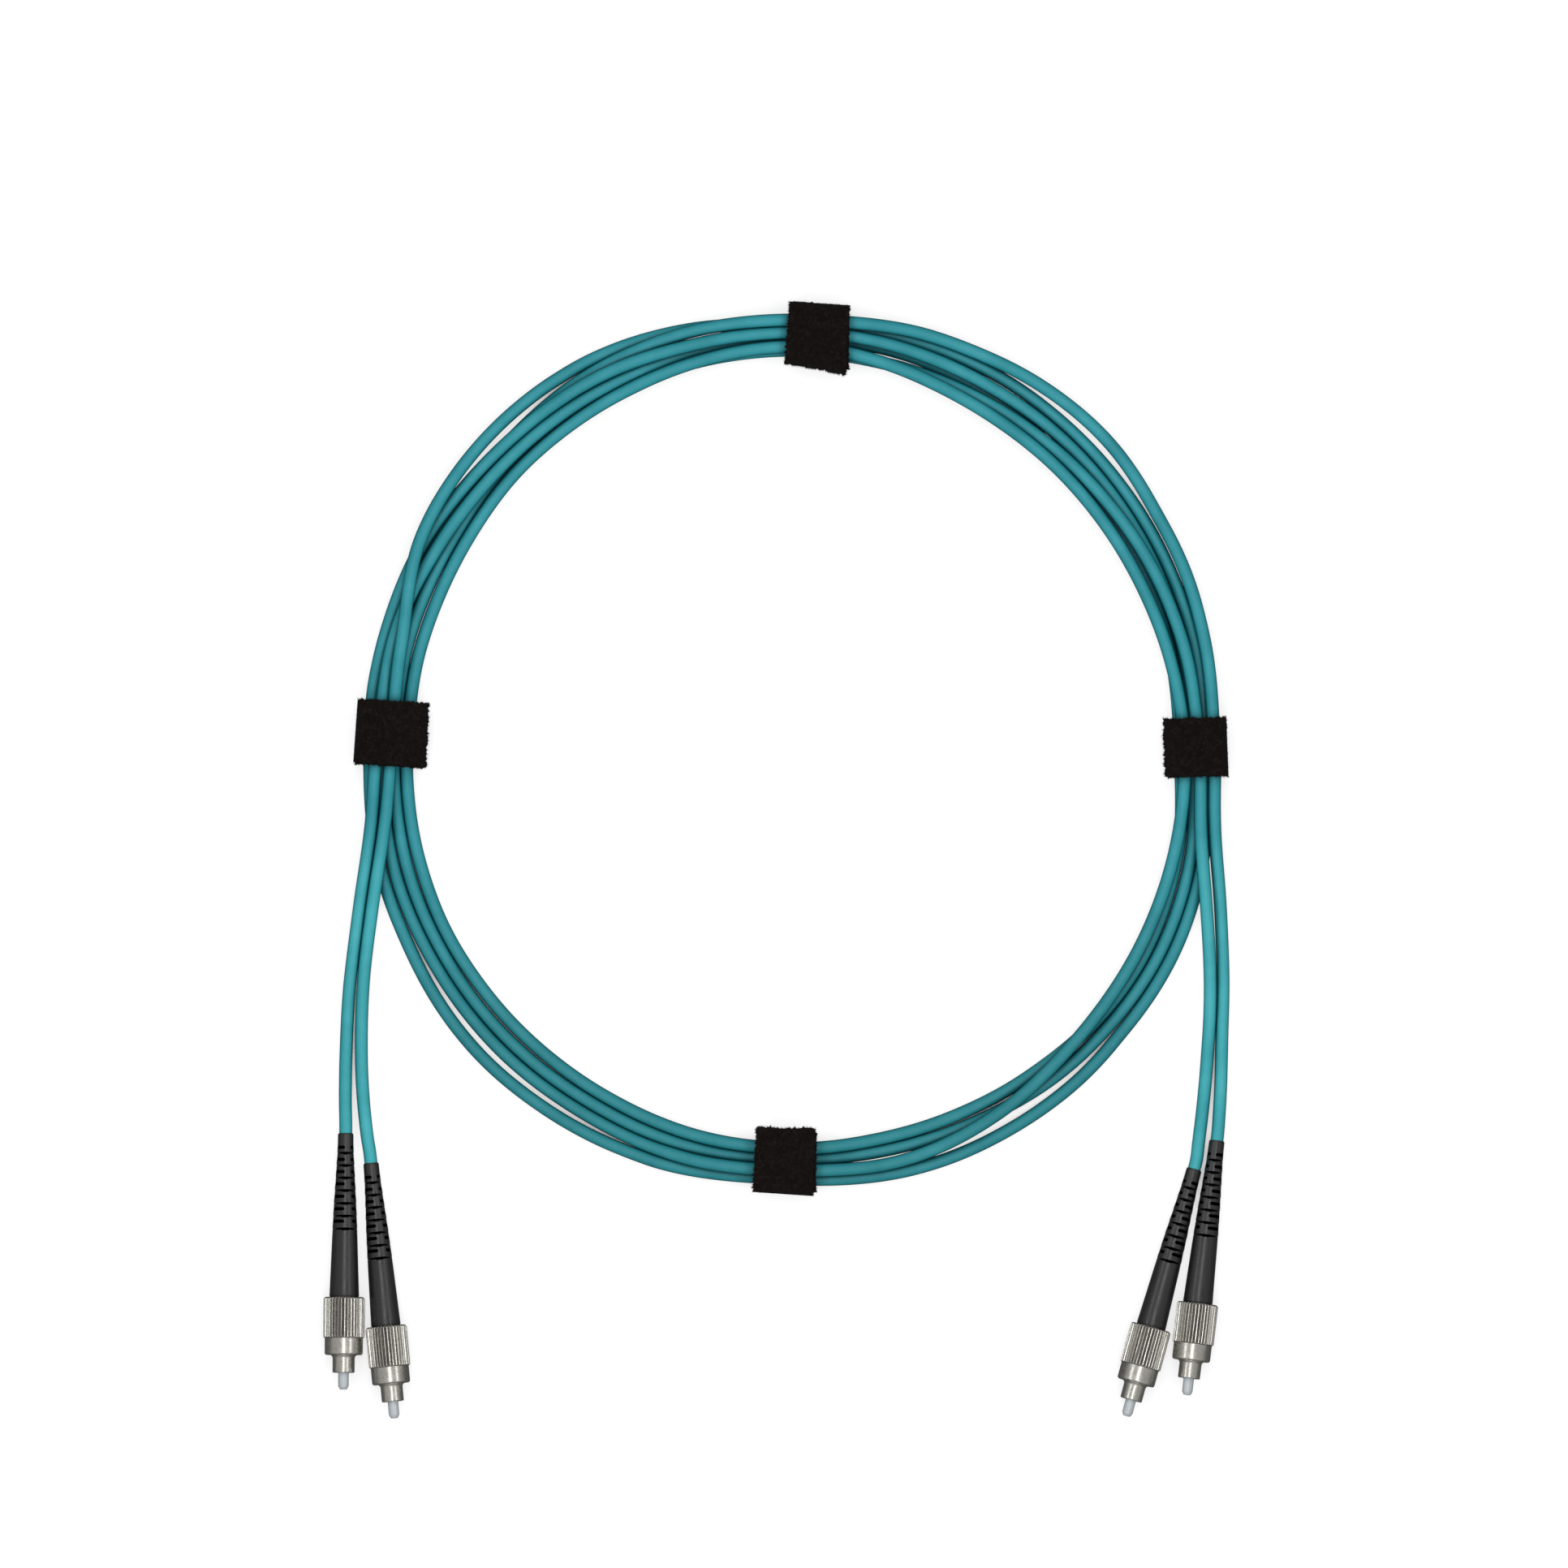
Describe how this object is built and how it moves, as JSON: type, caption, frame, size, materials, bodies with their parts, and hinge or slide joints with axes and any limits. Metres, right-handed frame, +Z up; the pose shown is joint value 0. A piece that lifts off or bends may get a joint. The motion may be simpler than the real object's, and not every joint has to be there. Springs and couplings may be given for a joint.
{
  "type": "fiber optic patch cord",
  "caption": "Coiled duplex fibre optic patch cord: slim aqua cable held by dark hook-and-loop straps, with round screw-on connectors that have knurled coupling nuts and ribbed boots.",
  "frame": {"origin": "bottom centre of the whole cord's bounding box, on the bench plane", "axes": "+Z up from the bench, +Y from the loose connectors towards the coil, +X to the right seen from above"},
  "size_m": [0.2148, 0.2648, 0.0113],
  "materials": {
    "aqua_jacket": "satin",
    "aramid_yarn": "loose yarn",
    "buffered_fibre": "gloss",
    "strap_tape": "fuzzy hook and loop",
    "boot_rubber": "satin",
    "spring_steel": "bright",
    "nickel_plate": "nickel plated",
    "zirconia": "polished"
  },
  "bodies": {
    "coil": {"jacket_a": "aqua_jacket", "jacket_b": "aqua_jacket", "aramid_a": "aramid_yarn", "aramid_b": "aramid_yarn", "fibre_a": "buffered_fibre", "fibre_b": "buffered_fibre", "strap_loop_top": "strap_tape", "strap_loop_left": "strap_tape", "strap_loop_right": "strap_tape", "strap_loop_bottom": "strap_tape"},
    "tail_left_outer": {"tail_jacket_left_outer": "aqua_jacket"},
    "connector_left_outer": {"boot_left_outer": "boot_rubber", "crimp_sleeve_left_outer": "spring_steel", "rear_body_left_outer": "nickel_plate", "barrel_left_outer": "nickel_plate"},
    "ferrule_unit_left_outer": {"ferrule_left_outer": "zirconia", "ferrule_flange_left_outer": "nickel_plate", "spring_left_outer": "spring_steel"},
    "nut_carrier_left_outer": {"nut_ring_left_outer": "spring_steel"},
    "nut_left_outer": {"coupling_nut_left_outer": "nickel_plate"},
    "tail_left_inner": {"tail_jacket_left_inner": "aqua_jacket"},
    "connector_left_inner": {"boot_left_inner": "boot_rubber", "crimp_sleeve_left_inner": "spring_steel", "rear_body_left_inner": "nickel_plate", "barrel_left_inner": "nickel_plate"},
    "ferrule_unit_left_inner": {"ferrule_left_inner": "zirconia", "ferrule_flange_left_inner": "nickel_plate", "spring_left_inner": "spring_steel"},
    "nut_carrier_left_inner": {"nut_ring_left_inner": "spring_steel"},
    "nut_left_inner": {"coupling_nut_left_inner": "nickel_plate"},
    "tail_right_inner": {"tail_jacket_right_inner": "aqua_jacket"},
    "connector_right_inner": {"boot_right_inner": "boot_rubber", "crimp_sleeve_right_inner": "spring_steel", "rear_body_right_inner": "nickel_plate", "barrel_right_inner": "nickel_plate"},
    "ferrule_unit_right_inner": {"ferrule_right_inner": "zirconia", "ferrule_flange_right_inner": "nickel_plate", "spring_right_inner": "spring_steel"},
    "nut_carrier_right_inner": {"nut_ring_right_inner": "spring_steel"},
    "nut_right_inner": {"coupling_nut_right_inner": "nickel_plate"},
    "tail_right_outer": {"tail_jacket_right_outer": "aqua_jacket"},
    "connector_right_outer": {"boot_right_outer": "boot_rubber", "crimp_sleeve_right_outer": "spring_steel", "rear_body_right_outer": "nickel_plate", "barrel_right_outer": "nickel_plate"},
    "ferrule_unit_right_outer": {"ferrule_right_outer": "zirconia", "ferrule_flange_right_outer": "nickel_plate", "spring_right_outer": "spring_steel"},
    "nut_carrier_right_outer": {"nut_ring_right_outer": "spring_steel"},
    "nut_right_outer": {"coupling_nut_right_outer": "nickel_plate"},
    "strap_end_top": {"strap_end_top": "strap_tape"},
    "strap_end_left": {"strap_end_left": "strap_tape"},
    "strap_end_right": {"strap_end_right": "strap_tape"},
    "strap_end_bottom": {"strap_end_bottom": "strap_tape"}
  },
  "joints": [
    {"name": "tail_swing_left_outer", "type": "hinge", "parent": "coil", "child": "tail_left_outer", "pos_m": [-0.10217, -0.045, 0.0016], "axis": [0, 0, 1], "range_deg": [-30, 0], "deforming": ["tail_jacket_left_outer", "aramid_a", "fibre_a"]},
    {"name": "connector_lift_left_outer", "type": "hinge", "parent": "tail_left_outer", "child": "connector_left_outer", "pos_m": [-0.10225, -0.06496, 0.00218], "axis": [-1, 0.007, 0], "range_deg": [0, 40], "deforming": ["tail_jacket_left_outer", "aramid_a", "fibre_a"]},
    {"name": "ferrule_push_left_outer", "type": "slide", "parent": "connector_left_outer", "child": "ferrule_unit_left_outer", "axis": [-0.007, -0.9974, 0.0715], "range_m": [-0.001, 0], "stiffness_N_per_m": 120, "deforming": ["spring_left_outer"]},
    {"name": "nut_slide_left_outer", "type": "slide", "parent": "connector_left_outer", "child": "nut_carrier_left_outer", "axis": [-0.007, -0.9974, 0.0715], "range_m": [0, 0.003]},
    {"name": "nut_spin_left_outer", "type": "hinge", "parent": "nut_carrier_left_outer", "child": "nut_left_outer", "pos_m": [-0.10252, -0.10366, 0.00495], "axis": [-0.007, -0.9974, 0.0715], "continuous": true},
    {"name": "tail_swing_left_inner", "type": "hinge", "parent": "coil", "child": "tail_left_inner", "pos_m": [-0.09857, -0.045, 0.00187], "axis": [0, 0, 1], "range_deg": [0, 30], "deforming": ["tail_jacket_left_inner", "aramid_b", "fibre_b"]},
    {"name": "connector_lift_left_inner", "type": "hinge", "parent": "tail_left_inner", "child": "connector_left_inner", "pos_m": [-0.09627, -0.07202, 0.00218], "axis": [-0.9956, -0.0941, 0], "range_deg": [0, 40], "deforming": ["tail_jacket_left_inner", "aramid_b", "fibre_b"]},
    {"name": "ferrule_push_left_inner", "type": "slide", "parent": "connector_left_inner", "child": "ferrule_unit_left_inner", "axis": [0.0939, -0.993, 0.0715], "range_m": [-0.001, 0], "stiffness_N_per_m": 120, "deforming": ["spring_left_inner"]},
    {"name": "nut_slide_left_inner", "type": "slide", "parent": "connector_left_inner", "child": "nut_carrier_left_inner", "axis": [0.0939, -0.993, 0.0715], "range_m": [0, 0.003]},
    {"name": "nut_spin_left_inner", "type": "hinge", "parent": "nut_carrier_left_inner", "child": "nut_left_inner", "pos_m": [-0.09262, -0.11055, 0.00495], "axis": [0.0939, -0.993, 0.0715], "continuous": true},
    {"name": "tail_swing_right_inner", "type": "hinge", "parent": "coil", "child": "tail_right_inner", "pos_m": [0.10203, -0.045, 0.00205], "axis": [0, 0, 1], "range_deg": [-30, 0], "deforming": ["tail_jacket_right_inner", "aramid_b", "fibre_b"]},
    {"name": "connector_lift_right_inner", "type": "hinge", "parent": "tail_right_inner", "child": "connector_right_inner", "pos_m": [0.09891, -0.07346, 0.00218], "axis": [-0.9636, 0.2672, 0], "range_deg": [0, 40], "deforming": ["tail_jacket_right_inner", "aramid_b", "fibre_b"]},
    {"name": "ferrule_push_right_inner", "type": "slide", "parent": "connector_right_inner", "child": "ferrule_unit_right_inner", "axis": [-0.2666, -0.9612, 0.0715], "range_m": [-0.001, 0], "stiffness_N_per_m": 120, "deforming": ["spring_right_inner"]},
    {"name": "nut_slide_right_inner", "type": "slide", "parent": "connector_right_inner", "child": "nut_carrier_right_inner", "axis": [-0.2666, -0.9612, 0.0715], "range_m": [0, 0.003]},
    {"name": "nut_spin_right_inner", "type": "hinge", "parent": "nut_carrier_right_inner", "child": "nut_right_inner", "pos_m": [0.08857, -0.11075, 0.00495], "axis": [-0.2666, -0.9612, 0.0715], "continuous": true},
    {"name": "tail_swing_right_outer", "type": "hinge", "parent": "coil", "child": "tail_right_outer", "pos_m": [0.10553, -0.045, 0.0016], "axis": [0, 0, 1], "range_deg": [0, 30], "deforming": ["tail_jacket_right_outer", "aramid_a", "fibre_a"]},
    {"name": "connector_lift_right_outer", "type": "hinge", "parent": "tail_right_outer", "child": "connector_right_outer", "pos_m": [0.10431, -0.06669, 0.00218], "axis": [-0.9928, 0.1201, 0], "range_deg": [0, 40], "deforming": ["tail_jacket_right_outer", "aramid_a", "fibre_a"]},
    {"name": "ferrule_push_right_outer", "type": "slide", "parent": "connector_right_outer", "child": "ferrule_unit_right_outer", "axis": [-0.1198, -0.9902, 0.0715], "range_m": [-0.001, 0], "stiffness_N_per_m": 120, "deforming": ["spring_right_outer"]},
    {"name": "nut_slide_right_outer", "type": "slide", "parent": "connector_right_outer", "child": "nut_carrier_right_outer", "axis": [-0.1198, -0.9902, 0.0715], "range_m": [0, 0.003]},
    {"name": "nut_spin_right_outer", "type": "hinge", "parent": "nut_carrier_right_outer", "child": "nut_right_outer", "pos_m": [0.09966, -0.10511, 0.00495], "axis": [-0.1198, -0.9902, 0.0715], "continuous": true},
    {"name": "strap_peel_top", "type": "hinge", "parent": "coil", "child": "strap_end_top", "pos_m": [0.00992, 0.12936, 0.0102], "axis": [-0.9981, 0.061, 0], "range_deg": [0, 110]},
    {"name": "strap_peel_left", "type": "hinge", "parent": "coil", "child": "strap_end_left", "pos_m": [-0.09731, 0.03038, 0.0102], "axis": [-0.0454, -0.999, 0], "range_deg": [0, 110]},
    {"name": "strap_peel_right", "type": "hinge", "parent": "coil", "child": "strap_end_right", "pos_m": [0.10468, 0.02668, 0.0102], "axis": [-0.0087, 1, 0], "range_deg": [0, 110]},
    {"name": "strap_peel_bottom", "type": "hinge", "parent": "coil", "child": "strap_end_bottom", "pos_m": [0.00161, -0.07703, 0.0102], "axis": [0.9998, -0.0192, 0], "range_deg": [0, 110]}
  ]
}
